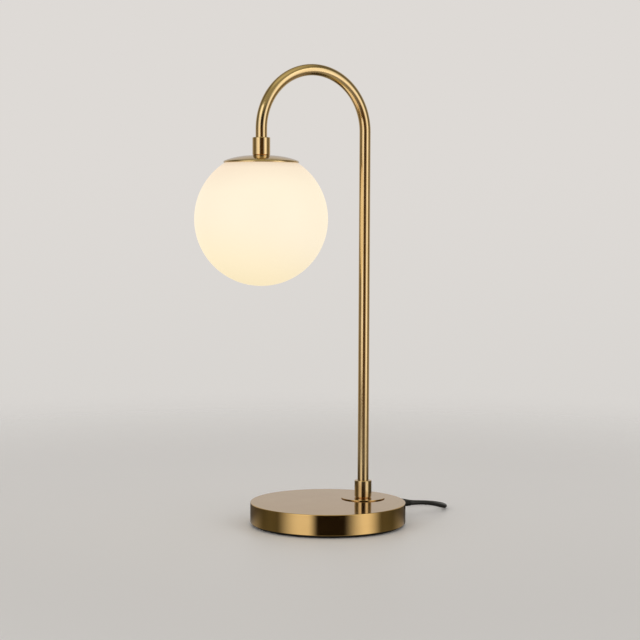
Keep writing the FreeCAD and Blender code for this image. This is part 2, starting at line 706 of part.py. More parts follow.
def opal_globe():
    """Blown opal glass ball with a ground mouth that butts on the gasket in the cap."""
    body = new_body("opal_globe")
    outer = S.globe_radius
    inner = S.globe_radius - S.globe_wall
    cut = S.globe_cut - S.globe_centre
    lip = leg(outer, cut)
    low = leg(inner, S.mouth_radius)
    sketch = outline(body, "XZ_Plane",
                     [(0, -outer), (outer, 0), (lip, cut), (S.mouth_radius, cut), (S.mouth_radius, low),
                      (inner, 0), (0, -inner)],
                     arcs={0: outer, 1: outer, 4: -inner, 5: -inner})
    revolve(body, sketch)
    place(body, x=head_x(), z=S.globe_centre)
    return body


def bulb_top():
    return holder_low() - S.bulb_gap


def bulb_pins():
    body = new_body("bulb_pins")
    pad(body, circles(body, "XY_Plane", pin_pair(S.pin_radius)), S.pin_reach + S.pin_sunk)
    place(body, x=head_x(), z=bulb_top() - S.pin_sunk)
    return body


def bulb_foot():
    """Ceramic foot of the bulb, pinched flat on two sides like the pressed glass it holds."""
    body = new_body("bulb_foot")
    high = S.bulb_foot_height
    wide = S.bulb_foot_radius
    bevel = S.bulb_foot_bevel
    edge = S.bulb_foot_edge
    corners = [(0, -high), (wide - bevel, -high), (wide, bevel - high), (wide, -edge),
               (wide - edge, 0), (0, 0)]
    revolve(body, outline(body, "XZ_Plane", corners))
    near = S.bulb_foot_flat
    for number, (low, high_y) in enumerate(((near, wide), (-wide, -near))):
        flat = rectangle(body, "XY_Plane", -wide, low, wide, high_y, "flat_%d" % number)
        pocket(body, flat, high - S.bulb_foot_rim, start=S.bulb_foot_rim - high)
    depth = S.pin_sunk + S.gasket_gap
    holes = circles(body, "XY_Plane", pin_pair(S.pin_radius + S.gasket_gap), "pin_holes")
    pocket(body, holes, depth, start=-depth)
    place(body, x=head_x(), z=bulb_top())
    return body


def bulb_glass():
    """Thin tubular envelope with a rounded end."""
    body = new_body("bulb_glass")
    radius = S.bulb_radius
    wall = S.bulb_wall
    long = S.bulb_length
    bend = radius - wall
    corners = [(S.bulb_neck, 0), (radius, -S.bulb_shoulder), (radius, radius - long),
               (0, -long), (0, wall - long), (bend, radius - long), (bend, -S.bulb_shoulder - wall / 2),
               (S.bulb_neck, -wall)]
    sketch = outline(body, "XZ_Plane", corners, arcs={2: -radius, 4: bend})
    revolve(body, sketch)
    place(body, x=head_x(), z=bulb_top() - S.bulb_foot_height)
    return body


def bulb_core():
    """Light engine inside the envelope."""
    body = new_body("bulb_core")
    wide = S.led_radius
    end = S.led_length + S.led_tip
    corners = [(0, 0), (wide, 0), (wide, -S.led_length), (wide - S.led_tip, -end), (0, -end)]
    revolve(body, outline(body, "XZ_Plane", corners))
    place(body, x=head_x(), z=bulb_top() - S.bulb_foot_height)
    return body


# ---------------------------------------------------------------- cords

def arc_through(start, corner, end, radius):
    """The arc that rounds a corner of a route, with its two touching points."""
    before = (start - corner).normalize()
    after = (end - corner).normalize()
    half_turn = (math.pi - before.getAngle(after)) / 2
    reach = radius * math.tan(half_turn)
    first = corner + before * reach
    last = corner + after * reach
    inward = (before + after).normalize()
    middle = corner + inward * (radius / math.cos(half_turn) - radius)
    return Part.Arc(first, middle, last).toShape(), first, last


ARC_SHARE = 0.45  # part of the shorter run that an arc may take


def rounded_route(points):
    """Straight runs joined by tangent arcs, each as large as its two runs allow."""
    edges = []
    radii = []
    here = points[0]
    for before, corner, after in zip(points, points[1:], points[2:]):
        turn = (corner - before).getAngle(after - corner)
        shorter = min((corner - before).Length, (after - corner).Length)
        radius = ARC_SHARE * shorter / math.tan(turn / 2)
        arc, first, last = arc_through(before, corner, after, radius)
        edges += [Part.LineSegment(here, first).toShape(), arc]
        radii.append(radius)
        here = last
    edges.append(Part.LineSegment(here, points[-1]).toShape())
    return Part.Wire(edges), radii


def swept_tube(path, start, direction, radius):
    """A round tube along a path, closed at both ends."""
    section = Part.Wire([Part.Circle(start, direction, radius).toShape()])
    shell = Part.BRepOffsetAPI.MakePipeShell(path)
    shell.add(section)
    shell.build()
    shell.makeSolid()
    return shell.shape()


def cord_feature(label, shape):
    feature = DOCUMENT.addObject("Part::Feature", label)
    feature.Label = label
    feature.Shape = shape
    SUB_PARTS.append(feature)
    return feature


def free_cord(label, points, radius):
    points = [Vector(*point) for point in points]
    path, radii = rounded_route(points)
    tube = swept_tube(path, points[0], points[1] - points[0], radius)
    nominal = math.pi * radius * radius * path.Length
    print(label, "length %.1f" % path.Length, "radii", ["%.0f" % value for value in radii],
          "volume ratio %.4f" % (tube.Volume / nominal))
    return cord_feature(label, tube), path.Length


# Routes of the free cord, chosen by hand, in the lamp's frame.
LEAD_ROUTE = [(112, 0, 14.75), (131, 0, 14.75), (148, 2.0, 11.6), (163.5, 6.6, 7.2), (177.2, 14.6, 3.5),
              (184.1, 29.4, 2.6), (181.6, 45.5, 2.55), (170.5, 57.0, 2.6), (156, 61.2, 3.2),
              (144.8, 63.68, 6.4), (135.13, 66.09, 6.4)]
RUN_ROUTE = [(65.27, 83.51, 6.4), (54.6, 86.17, 6.4), (41.966, 89.285, 2.55), (30.323, 92.188, 2.55)]
TAIL_ROUTE = [(60.6, 165.29, 8.1), (70.88, 159.12, 8.1), (81.5, 152.1, 5.5), (89.53, 143.16, 5.5)]
COIL_CENTRE = Vector(40, 131, 0)
COIL_START = -104.0
COIL_TURNS = 7.5472
CLIMB_TURNS = 0.5
SWITCH_PLACE = (100.2, 74.8)
SWITCH_TURN = 166.0
PLUG_PLACE = (98.9, 132.75)
PLUG_TURN = -48.0
ROCKER_TILT = 8.0


def coil_point(turns):
    """Centre line of the coil after so many turns: in along the floor, up a layer, out again."""
    middle = COIL_TURNS / 2
    steady = middle - CLIMB_TURNS / 2
    pitch = plain(S.coil_pitch)
    inmost = plain(S.coil_radius) - pitch * steady
    low = plain(S.cord_radius) + plain(S.floor_play)
    away = abs(turns - middle)
    if away >= CLIMB_TURNS / 2:
        radius = inmost + pitch * (away - CLIMB_TURNS / 2)
        height = low if turns < middle else low + plain(S.coil_layer)
    else:
        radius = inmost + pitch * (away * away / CLIMB_TURNS - CLIMB_TURNS / 4)
        share = (turns - middle) / CLIMB_TURNS + 0.5
        height = low + plain(S.coil_layer) * share * share * (3 - 2 * share)
    angle = math.radians(COIL_START - 360 * turns)
    return COIL_CENTRE + Vector(radius * math.cos(angle), radius * math.sin(angle), height)


def coil_heading(turns):
    """Direction of the centre line; it is square to the radius at both ends."""
    angle = math.radians(COIL_START - 360 * turns)
    around_centre = Vector(math.sin(angle), -math.cos(angle), 0)
    if turns in (0, COIL_TURNS):
        return around_centre
    step = 1e-4
    return (coil_point(turns + step) - coil_point(turns - step)).normalize()


def half_of_biarc(start, corner, end):
    """One arc from start to end that is tangent to both sides of the corner between them."""
    middle = (start + end) / 2
    half_chord = (end - start).Length / 2
    side = (corner - start).Length
    rise = (corner - middle).Length
    sagitta = half_chord * rise / (side + half_chord)
    return Part.Arc(start, middle + (corner - middle).normalize() * sagitta, end).toShape()


def biarc(start, heading, end, arrival):
    """Two arcs that join two points with given directions."""
    chord = end - start
    both = heading + arrival
    spread = 2 * (1 - heading.dot(arrival))
    along = chord.dot(both)
    reach = (-along + math.sqrt(along * along + spread * chord.dot(chord))) / spread
    first = start + heading * reach
    last = end - arrival * reach
    joint = (first + last) / 2
    return [half_of_biarc(start, first, joint), half_of_biarc(joint, last, end)]


def cord_coil():
    """The stored length: an unbroken tube that winds in, climbs a layer and winds out."""
    quarters = int(COIL_TURNS * 4)
    marks = [COIL_TURNS * index / quarters for index in range(quarters + 1)]
    edges = []
    for start, end in zip(marks, marks[1:]):
        edges += biarc(coil_point(start), coil_heading(start), coil_point(end), coil_heading(end))
    path = Part.Wire(edges)
    radius = plain(S.cord_radius)
    tube = swept_tube(path, coil_point(0), coil_heading(0), radius)
    nominal = math.pi * radius * radius * path.Length
    print("cord_coil length %.1f" % path.Length, "volume ratio %.4f" % (tube.Volume / nominal),
          "least gap to itself %.2f" % least_gap(path, radius))
    return cord_feature("cord_coil", tube), path.Length


def least_gap(path, radius):
    """Smallest space between turns, measured on points a millimetre or two apart."""
    points = path.discretize(Number=900)
    step = path.Length / 899
    apart = int(12 * radius / step)
    nearest = min((points[a] - points[b]).Length for a in range(0, 900, 2) for b in range(a + apart, 900))
    return nearest - 2 * radius


# Cores inside the base: from the sheath to the block's -Y side, and from its +Y side to the stem.
SUPPLY_CORES = [
    [(68, 1.2, 14.75), (62, -0.6, 13.2), (54, -11, 10.9), (44, -17.5, 10.7), (31, -21.5, 10.7),
     (22.5, -20, 10.7), (19, -14.5, 10.7), (19, -9, 10.7)],
    [(68, -1.2, 14.75), (62, -3.4, 13.2), (53.5, -14.2, 10.9), (43, -21, 10.7), (27, -25.5, 10.7),
     (15, -24, 10.7), (11, -17, 10.7), (11, -9, 10.7)],
]
LAMP_CORES = [
    ((-0.8, -0.85), [(19, 9, 10.7), (19, 15.5, 10.4), (27, 18.5, 8.4), (38, 8.2, 7.0)]),
    ((0.8, 0.85), [(11, 9, 10.7), (11, 18, 10.4), (21, 25, 8.4), (36, 15.2, 7.0)]),
]


def core(points):
    points = [Vector(*point) for point in points]
    path = rounded_route(points)[0]
    return swept_tube(path, points[0], points[1] - points[0], plain(S.core_radius))


def lamp_wires():
    """The two cores from the terminal block up the stem, over the arch and down to the holder."""
    stem = plain(S.stem_offset)
    crown = plain(S.arch_springing)
    low = plain(S.wire_low)
    turned = low + plain(S.wire_bend) / ARC_SHARE
    end = plain(holder_low() + S.holder_height + S.hole_play)
    cores = []
    for (aside, y), points in LAMP_CORES:
        foot = stem + aside
        span = plain(S.arch_radius) + aside
        top = stem - plain(S.arch_radius)
        points = [Vector(*point) for point in points] + [Vector(foot, y, low), Vector(foot, y, turned)]
        path = rounded_route(points)[0]
        rise = Part.LineSegment(points[-1], Vector(foot, y, crown)).toShape()
        over = Vector(top - span, y, crown)
        arch = Part.Arc(Vector(foot, y, crown), Vector(top, y, crown + span), over).toShape()
        drop = Part.LineSegment(over, Vector(top - span, y, end)).toShape()
        whole = Part.Wire(path.Edges + [rise, arch, drop])
        cores.append(swept_tube(whole, points[0], points[1] - points[0], plain(S.core_radius)))
    return cord_feature("lamp_wires", Part.makeCompound(cores))


def supply_lead():
    """The end of the cord inside the base: sheath through the bush, cores on to the block."""
    start = plain(S.clamp_place)
    sheath = Part.makeCylinder(plain(S.cord_radius), plain(S.sheath_end) - start,
                               Vector(start, 0, plain(S.exit_height)), Vector(1, 0, 0))
    cores = [core(points) for points in SUPPLY_CORES]
    return cord_feature("supply_lead", Part.makeCompound([sheath] + cores))


# ---------------------------------------------------------------- inline switch

def switch_place(thing, z):
    place(thing, x=SWITCH_PLACE[0], y=SWITCH_PLACE[1], z=z, turn=SWITCH_TURN)


def capsule(body, long, wide, corner, name):
    """A rectangle with large rounded corners, long along X."""
    far = long / 2
    near = far - corner
    side = wide / 2
    low = side - corner
    corners = [(-near, -side), (near, -side), (far, -low), (far, low), (near, side), (-near, side),
               (-far, low), (-far, -low)]
    return outline(body, "XY_Plane", corners, arcs={1: corner, 3: corner, 5: corner, 7: corner}, name=name)


def switch_shell(label, height, wall_top):
    body = new_body(label)
    wall = S.switch_wall
    pad(body, capsule(body, S.switch_length, S.switch_width, S.switch_corner, "outside"), height)
    inside = capsule(body, S.switch_length - wall * 2, S.switch_width - wall * 2, S.switch_corner - wall,
                     "inside")
    if wall_top:
        pocket(body, inside, height - wall, start=0)
    else:
        pocket(body, inside, height, start=wall)
    for side in (-1, 1):
        rows = [(0, 0 if wall_top else height, S.cord_radius + S.hole_play / 2)]
        hole = circles(body, "YZ_Plane", rows, "cord_way_%d" % (side + 1))
        start = S.switch_length / 2 - wall * 2 if side > 0 else -S.switch_length / 2 - wall
        pocket(body, hole, wall * 3, start=start)
    return body


def switch_base():
    """Lower shell with sunk screw seats and the two posts that carry the rocker's pin."""
    body = switch_shell("switch_base", S.switch_split, False)
    place_x = S.switch_screw_place
    wide = S.boss_hole + S.hole_play / 2
    holes = circles(body, "XY_Plane", [(-place_x, 0, wide), (place_x, 0, wide)], "holes")
    pocket(body, holes, S.switch_wall, start=0)
    wide = S.screw_seat_radius
    seats = circles(body, "XY_Plane", [(-place_x, 0, wide), (place_x, 0, wide)], "seats")
    pocket(body, seats, S.screw_seat_depth, start=0)
    half = S.post_width / 2
    for number, (near, far) in enumerate(((S.post_near, S.post_far), (-S.post_far, -S.post_near))):
        pad(body, rectangle(body, "XY_Plane", -half, near, half, far, "post_%d" % number), S.post_height)
    bearing = circles(body, "XZ_Plane", [(0, S.pivot_height, S.rocker_pin + S.pin_play)], "bearing")
    pocket(body, bearing, S.post_far * 2.1, midplane=True)
    switch_place(body, 0)
    return body


def switch_lid():
    """Upper shell with rounded shoulders, two screw bosses and the window for the rocker."""
    height = S.switch_height - S.switch_split
    body = switch_shell("switch_lid", height, True)
    drop = S.switch_split - S.switch_wall - S.seat_play
    place_x = S.switch_screw_place
    rows = [(-place_x, 0, S.boss_radius), (place_x, 0, S.boss_radius)]
    pad(body, circles(body, "XY_Plane", rows, "bosses"), height - S.switch_wall + drop, start=-drop)
    rows = [(-place_x, 0, S.boss_hole), (place_x, 0, S.boss_hole)]
    pocket(body, circles(body, "XY_Plane", rows, "boss_holes"), height - S.switch_wall + drop, start=-drop)
    roof = S.switch_height - S.switch_wall - S.pivot_height
    half = leg(S.rocker_radius, roof) + S.rocker_play
    side = S.rocker_width / 2 + S.rocker_play
    window = rectangle(body, "XY_Plane", -half, -side, half, side, "window")
    pocket(body, window, S.switch_height, start=0)
    top = plain(height)
    ends = plain(half + S.rocker_play)
    soften(body, S.lid_round, lambda edge: all(
        abs(vertex.Z - top) < 1e-6 and abs(vertex.X) > ends for vertex in edge.Vertexes))
    switch_place(body, S.switch_split)
    return body


def rocker():
    """Rocker key on its cross pin, tipped to one side; its ends are round about the pin."""
    body = new_body("switch_rocker")
    low = leg(S.rocker_radius, S.rocker_foot)
    high = leg(S.rocker_radius, S.rocker_end)
    hub = S.rocker_hub
    corners = [(-low, S.rocker_foot), (-hub, -hub), (hub, -hub), (low, S.rocker_foot), (high, S.rocker_end),
               (0, S.rocker_dip), (-high, S.rocker_end)]
    arcs = {3: S.rocker_radius, 4: -S.rocker_hollow, 5: -S.rocker_hollow, 6: S.rocker_radius}
    pad(body, outline(body, "XZ_Plane", corners, arcs), S.rocker_width, midplane=True)
    pin = circles(body, "XZ_Plane", [(0, 0, S.rocker_pin)], "pin")
    pad(body, pin, S.post_far * 2 - S.hole_play, midplane=True)
    switch_place(body, S.pivot_height)
    turned = Rotation(Vector(0, 0, 1), SWITCH_TURN).multiply(Rotation(Vector(0, 1, 0), -ROCKER_TILT))
    body.Placement = Placement(body.Placement.Base, turned)
    return body


def switch_contacts():
    """Two fixed contact strips on the floor of the switch."""
    body = new_body("switch_contacts")
    half = S.contact_half
    ends = ((-S.contact_far, -S.contact_near), (S.contact_near, S.contact_far))
    for number, (low, high) in enumerate(ends):
        pad(body, rectangle(body, "XY_Plane", low, -half, high, half, "strip_%d" % number), S.contact_sheet)
    switch_place(body, S.switch_wall)
    return body


def switch_screws():
    play = S.seat_play
    body = screws_around("switch_screws", S.switch_screw_place, 0, S.switch_screw_reach, S.boss_hole - play,
                         S.screw_seat_radius - S.hole_play, S.screw_seat_depth - play, 2)
    switch_place(body, S.screw_seat_depth)
    return body


def switch_leads():
    """The two ends of the sheath that pass through the sleeves into the switch."""
    axis = Rotation(Vector(0, 0, 1), SWITCH_TURN).multVec(Vector(1, 0, 0))
    centre = Vector(SWITCH_PLACE[0], SWITCH_PLACE[1], plain(S.switch_split))
    near = plain(S.stub_reach)
    far = plain(S.stub_end)
    stubs = [Part.makeCylinder(plain(S.cord_radius), far - near, centre + axis * near * side, axis * side)
             for side in (-1, 1)]
    return cord_feature("switch_leads", Part.makeCompound(stubs))


def sleeve(label, end):
    """Short tapered rubber sleeve where the cord meets one end of the switch."""
    body = new_body(label)
    bore = S.bush_bore
    corners = [(bore, 0), (S.sleeve_root, 0), (S.bush_tip, S.sleeve_length), (bore, S.sleeve_length)]
    revolve(body, outline(body, "XZ_Plane", corners))
    turn = Rotation(Vector(0, 0, 1), SWITCH_TURN)
    along = turn.multVec(Vector(plain(S.switch_length) / 2 * end, 0, 0))
    body.Placement = Placement(Vector(SWITCH_PLACE[0], SWITCH_PLACE[1], plain(S.switch_split)) + along,
                               turn.multiply(Rotation(Vector(0, 1, 0), 90 * end)))
    return body


# ---------------------------------------------------------------- plug

def plug_place(thing, z):
    place(thing, x=PLUG_PLACE[0], y=PLUG_PLACE[1], z=z, turn=PLUG_TURN)


def plug_body():
    """Moulded flat plug: a waisted grip that widens to the face."""
    body = new_body("plug_body")
    wide = S.plug_width / 2
    long = S.plug_length
    shoulder = long - S.plug_shoulder
    corners = [(0, -S.plug_back), (S.plug_waist_place, -S.plug_waist), (shoulder, -wide), (long, -wide),
               (long, wide), (shoulder, wide), (S.plug_waist_place, S.plug_waist), (0, S.plug_back)]
    pad(body, outline(body, "XY_Plane", corners, arcs={0: -S.plug_hollow, 6: -S.plug_hollow}), S.plug_height)
    face = plain(long - S.seat_play)
    soften(body, S.plug_round, lambda edge: level(edge) and min(vertex.X for vertex in edge.Vertexes) < face)
    plug_place(body, 0)
    return body


def plug_blades():
    body = new_body("plug_blades")
    reach = S.blade_length
    half = S.blade_thickness / 2
    for number, side in enumerate((-1, 1)):
        middle = S.blade_spacing * 0.5 * side
        taper = reach - S.blade_taper
        corners = [(0, middle - half), (taper, middle - half), (reach, middle - half / 2),
                   (reach, middle + half / 2), (taper, middle + half), (0, middle + half)]
        pad(body, outline(body, "XY_Plane", corners, name="blade_%d" % number), S.blade_width)
    along = Rotation(Vector(0, 0, 1), PLUG_TURN).multVec(Vector(plain(S.plug_length), 0, 0))
    place(body, x=PLUG_PLACE[0] + along.x, y=PLUG_PLACE[1] + along.y,
          z=S.plug_height / 2 - S.blade_width / 2, turn=PLUG_TURN)
    return body


def plug_relief():
    """Tapered sleeve behind the plug."""
    body = new_body("plug_relief")
    corners = [(0, 0), (S.sleeve_root, 0), (S.bush_tip, S.plug_tail), (0, S.plug_tail)]
    revolve(body, outline(body, "XZ_Plane", corners))
    lean = Rotation(Vector(0, 0, 1), PLUG_TURN).multiply(Rotation(Vector(0, 1, 0), -90))
    body.Placement = Placement(Vector(PLUG_PLACE[0], PLUG_PLACE[1], plain(S.plug_height) / 2), lean)
    return body


# ---------------------------------------------------------------- build, check and write

def build():
    for make in (base_shell, base_weight, bottom_cover, foot_pad, cover_screws, stem_plate, lower_collar,
                 stem_clamp, terminal_block, terminal_screws, cord_clamp, cord_bush, arc_tube, upper_collar,
                 shade_cap, cap_washer, cap_gasket, globe_carrier, holder_cup, head_clamp, holder_body,
                 holder_contacts, opal_globe, bulb_pins, bulb_foot, bulb_glass, bulb_core, lamp_wires,
                 supply_lead, switch_base, switch_lid, rocker, switch_contacts, switch_screws, switch_leads,
                 plug_body, plug_blades, plug_relief):
        make()
    sleeve("switch_sleeve_in", -1)
    sleeve("switch_sleeve_out", 1)
    radius = plain(S.cord_radius)
    lengths = [free_cord("cord_lead", LEAD_ROUTE, radius)[1], free_cord("cord_run", RUN_ROUTE, radius)[1],
               cord_coil()[1], free_cord("cord_tail", TAIL_ROUTE, radius)[1]]
    print("free cord in all %.0f" % sum(lengths))


def check():
    DOCUMENT.recompute()
    for item in DOCUMENT.Objects:
        if "Invalid" in item.State or "Error" in item.State:
            raise RuntimeError("not computed: " + item.Label + " " + str(item.State))
    for item in SUB_PARTS:
        if item.Shape.isNull() or not item.Shape.isValid():
            raise RuntimeError("bad shape: " + item.Label)


def write():
    os.makedirs("parts", exist_ok=True)
    for item in SUB_PARTS:
        item.Shape.exportStep("parts/" + item.Label + ".step")
        print("%-18s solids %d volume %.1f" % (item.Label, len(item.Shape.Solids), item.Shape.Volume))


build()
check()
write()
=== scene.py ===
"""Glass globe table lamp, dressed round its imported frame: satin brass, lit opal glass, black cord."""
import math

import bmesh
import bpy
from mathutils import Matrix, Vector

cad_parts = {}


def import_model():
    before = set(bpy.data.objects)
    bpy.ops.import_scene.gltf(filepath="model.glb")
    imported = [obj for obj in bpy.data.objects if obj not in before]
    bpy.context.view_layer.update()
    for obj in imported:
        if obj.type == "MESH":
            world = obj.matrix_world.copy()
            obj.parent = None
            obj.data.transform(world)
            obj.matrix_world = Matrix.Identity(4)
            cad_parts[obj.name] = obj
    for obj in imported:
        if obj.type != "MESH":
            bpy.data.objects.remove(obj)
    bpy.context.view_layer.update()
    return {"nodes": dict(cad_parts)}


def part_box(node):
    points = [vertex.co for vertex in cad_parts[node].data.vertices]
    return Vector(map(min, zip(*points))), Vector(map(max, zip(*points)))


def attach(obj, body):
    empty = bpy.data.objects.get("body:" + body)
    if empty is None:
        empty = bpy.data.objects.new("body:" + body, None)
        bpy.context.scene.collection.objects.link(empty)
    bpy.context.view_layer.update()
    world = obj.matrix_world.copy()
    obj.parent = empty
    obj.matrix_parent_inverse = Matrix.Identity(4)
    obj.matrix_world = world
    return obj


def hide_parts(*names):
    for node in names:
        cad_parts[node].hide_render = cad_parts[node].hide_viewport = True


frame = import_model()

MM = 0.001

# ---------------------------------------------------------------- measures taken from the frame


def middle(node):
    """Centre of a node's box."""
    low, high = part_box(node)
    return (Vector(low) + Vector(high)) / 2


def low_of(node):
    """Height of a node's lowest point."""
    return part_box(node)[0][2]


def high_of(node):
    """Height of a node's highest point."""
    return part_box(node)[1][2]


def radius_of(node):
    """Radius of a round upright node."""
    low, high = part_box(node)
    return (high[1] - low[1]) / 2


STEM_X = middle("lower_collar").x
HEAD_X = middle("upper_collar").x
BASE_RADIUS = radius_of("base_shell")
TUBE_RADIUS = radius_of("arc_tube")
ARCH_RADIUS = (STEM_X - HEAD_X) / 2
SPRINGING = high_of("arc_tube") - ARCH_RADIUS - TUBE_RADIUS
GLOBE_RADIUS = radius_of("opal_globe")
GLOBE_Z = low_of("opal_globe") + GLOBE_RADIUS
# Sizes that the frame's boxes don't give; the seat is how far the tube goes down into each collar.
CORD_RADIUS = 2.5 * MM
ROD_BORE = 5 * MM
SEAT_DEPTH = 12 * MM

# ---------------------------------------------------------------- camera


def add_object(name, data):
    """Links a new object with that data into the scene."""
    made = bpy.data.objects.new(name, data)
    bpy.context.scene.collection.objects.link(made)
    return made


def add_camera():
    """The viewing angle of the photograph: a long lens, a little above the base."""
    data = bpy.data.cameras.new("camera")
    data.sensor_width = 36.0
    data.lens = 95.06
    camera = add_object("camera", data)
    camera.location = (-1.0061, -1.6641, 0.3608)
    camera.rotation_euler = [math.radians(angle) for angle in (86.37, -0.24, -30.846)]
    bpy.context.scene.camera = camera


# ---------------------------------------------------------------- cord

# Routes of the free cord, given point by point, in metres.
LEAD_ROUTE = [
    (0.112, 0, 0.01475), (0.131, 0, 0.01475), (0.148, 0.002, 0.0116), (0.1635, 0.0066, 0.0072),
    (0.1772, 0.0146, 0.0035), (0.1841, 0.0294, 0.0026), (0.1816, 0.0455, 0.00255), (0.1705, 0.057, 0.0026),
    (0.156, 0.0612, 0.0032), (0.1448, 0.06368, 0.0064), (0.13513, 0.06609, 0.0064),
]
RUN_ROUTE = [(0.06527, 0.08351, 0.0064), (0.0546, 0.08617, 0.0064), (0.041966, 0.089285, 0.00255)]
TAIL_ROUTE = [(0.07088, 0.15912, 0.0081), (0.0815, 0.1521, 0.0055), (0.08953, 0.14316, 0.0055)]
# The coil of the stored length: its outermost radius, the spacing of its turns and of its two layers,
# and the height of the cord's middle where it lies on the floor.
COIL_CENTRE = Vector((0.040, 0.131, 0))
COIL_START = math.radians(-104)
COIL_TURNS = 7.5472
CLIMB_TURNS = 0.5
COIL_RADIUS = 0.040
COIL_PITCH = 0.00554
COIL_LAYER = 0.00555
COIL_FLOOR = 0.00255
POINTS_PER_TURN = 24


def coil_route():
    """The coil's turns: in along the floor, up a layer in half a turn, and out again.

    A smooth cord runs inside its control points, so these stand out by the spread that brings it back.
    """
    half = COIL_TURNS / 2
    inmost = COIL_RADIUS - COIL_PITCH * (half - CLIMB_TURNS / 2)
    spread = 1 / (0.75 + 0.25 * math.cos(2 * math.pi / POINTS_PER_TURN))
    count = round(COIL_TURNS * POINTS_PER_TURN)
    route = []
    for index in range(count + 1):
        turns = COIL_TURNS * index / count
        away = abs(turns - half)
        if away >= CLIMB_TURNS / 2:
            radius = inmost + COIL_PITCH * (away - CLIMB_TURNS / 2)
            height = COIL_FLOOR + (0 if turns < half else COIL_LAYER)
        else:
            radius = inmost + COIL_PITCH * (away * away / CLIMB_TURNS - CLIMB_TURNS / 4)
            share = (turns - half) / CLIMB_TURNS + 0.5
            height = COIL_FLOOR + COIL_LAYER * share * share * (3 - 2 * share)
        angle = COIL_START - 2 * math.pi * turns
        radius *= spread if 0 < index < count else 1
        route.append(COIL_CENTRE + Vector((radius * math.cos(angle), radius * math.sin(angle), height)))
    return route


def cord(name, route, finish):
    """One smooth round cord along its route's control points."""
    data = bpy.data.curves.new(name, "CURVE")
    data.dimensions = "3D"
    data.bevel_depth = CORD_RADIUS
    data.bevel_resolution = 6
    data.resolution_u = 6
    data.use_fill_caps = True
    data.materials.append(finish)
    spline = data.splines.new("NURBS")
    spline.points.add(len(route) - 1)
    for point, place in zip(spline.points, route):
        point.co = (*place, 1)
    spline.order_u = 3
    spline.use_endpoint_u = True
    spline.use_smooth = True
    piece = add_object(name, data)
    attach(piece, "root")
    return piece


def add_cords(finish):
    """The lead from the base to the switch, and the stored length from the switch to the plug."""
    lead = cord("lead_cord", LEAD_ROUTE, finish)
    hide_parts("cord_lead")
    stored = cord("stored_cord", RUN_ROUTE + coil_route() + TAIL_ROUTE, finish)
    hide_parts("cord_run", "cord_coil", "cord_tail")


# ---------------------------------------------------------------- shader building


class Value:
    """A socket that takes part in sums; each operation adds a Math node."""

    def __init__(self, graph, socket):
        self.graph = graph
        self.socket = socket

    def math(self, operation, *numbers):
        """One Math node on these numbers."""
        return self.graph.node("Math", {"operation": operation}, dict(enumerate(numbers)))

    def __add__(self, other):
        return self.math("ADD", self, other)

    __radd__ = __add__

    def __sub__(self, other):
        return self.math("SUBTRACT", self, other)

    def __rsub__(self, other):
        return self.math("SUBTRACT", other, self)

    def __mul__(self, other):
        return self.math("MULTIPLY", self, other)

    __rmul__ = __mul__

    def __truediv__(self, other):
        return self.math("DIVIDE", self, other)

    def __pow__(self, other):
        return self.math("POWER", self, other)

    def __abs__(self):
        return self.math("ABSOLUTE", self)

    def steps(self, low, high):
        """Rises smoothly from 0 at low to 1 at high."""
        return self.graph.node("MapRange", {"interpolation_type": "SMOOTHSTEP"},
                               {"Value": self, "From Min": low, "From Max": high})


class Graph:
    """The nodes of one material, light or world."""

    def __init__(self, owner):
        owner.use_nodes = True
        self.owner = owner
        self.tree = owner.node_tree
        self.tree.nodes.clear()

    def node(self, kind, settings=None, sockets=None, out=0):
        """Adds a node: its settings first, then the values or links of its sockets."""
        made = self.tree.nodes.new("ShaderNode" + kind)
        for name, value in (settings or {}).items():
            setattr(made, name, value)
        for name, value in (sockets or {}).items():
            if isinstance(value, Value):
                self.tree.links.new(value.socket, made.inputs[name])
            else:
                made.inputs[name].default_value = value
        return Value(self, made.outputs[out]) if made.outputs else None

    def place(self):
        """Place in the lamp's own frame, in millimetres."""
        found = self.node("TexCoord", out="Object")
        return self.node("VectorMath", {"operation": "SCALE"}, {0: found, "Scale": 1 / MM})

    def parts(self, vector):
        """The three numbers of a vector."""
        made = self.node("SeparateXYZ", sockets={0: vector}).socket.node
        return [Value(self, number) for number in made.outputs]

    def join(self, x, y, z):
        """A vector of three numbers."""
        return self.node("CombineXYZ", sockets={0: x, 1: y, 2: z})

    def noise(self, vector, scale, detail=2.0, roughness=0.5):
        """Cloudy noise, from 0 to 1."""
        return self.node("TexNoise", sockets={"Vector": vector, "Scale": scale, "Detail": detail,
                                              "Roughness": roughness})

    def mix(self, factor, first, second):
        """One colour over another."""
        return self.node("Mix", {"data_type": "RGBA"}, {0: factor, 6: first, 7: second}, out=2)

    def bump(self, height, strength, depth):
        """Relief of that depth in millimetres, for the Normal socket."""
        return self.node("Bump", sockets={"Height": height, "Strength": strength, "Distance": depth * MM})

    def surface(self, **sockets):
        """Closes the material with one principled shader; _ stands for a blank in a socket's name."""
        named = {name.replace("_", " "): value for name, value in sockets.items()}
        shader = self.node("BsdfPrincipled", sockets=named)
        self.node("OutputMaterial", sockets={"Surface": shader})
        return self.owner


def new_graph(name):
    """The empty nodes of a new material."""
    return Graph(bpy.data.materials.new(name))


def colour(red, green, blue):
    """A colour given as the screen shows it, 0 to 255, as the shader's linear numbers."""
    linear = [((value / 255 + 0.055) / 1.055) ** 2.4 if value > 10 else value / 255 / 12.92
              for value in (red, green, blue)]
    return (*linear, 1.0)


# ---------------------------------------------------------------- finishes

RICH_BRASS = colour(232, 198, 138), colour(216, 178, 116)
PALE_BRASS = colour(240, 215, 168), colour(228, 197, 142)
BRASS_EDGE = (0.72, 0.74, 0.80, 1.0)


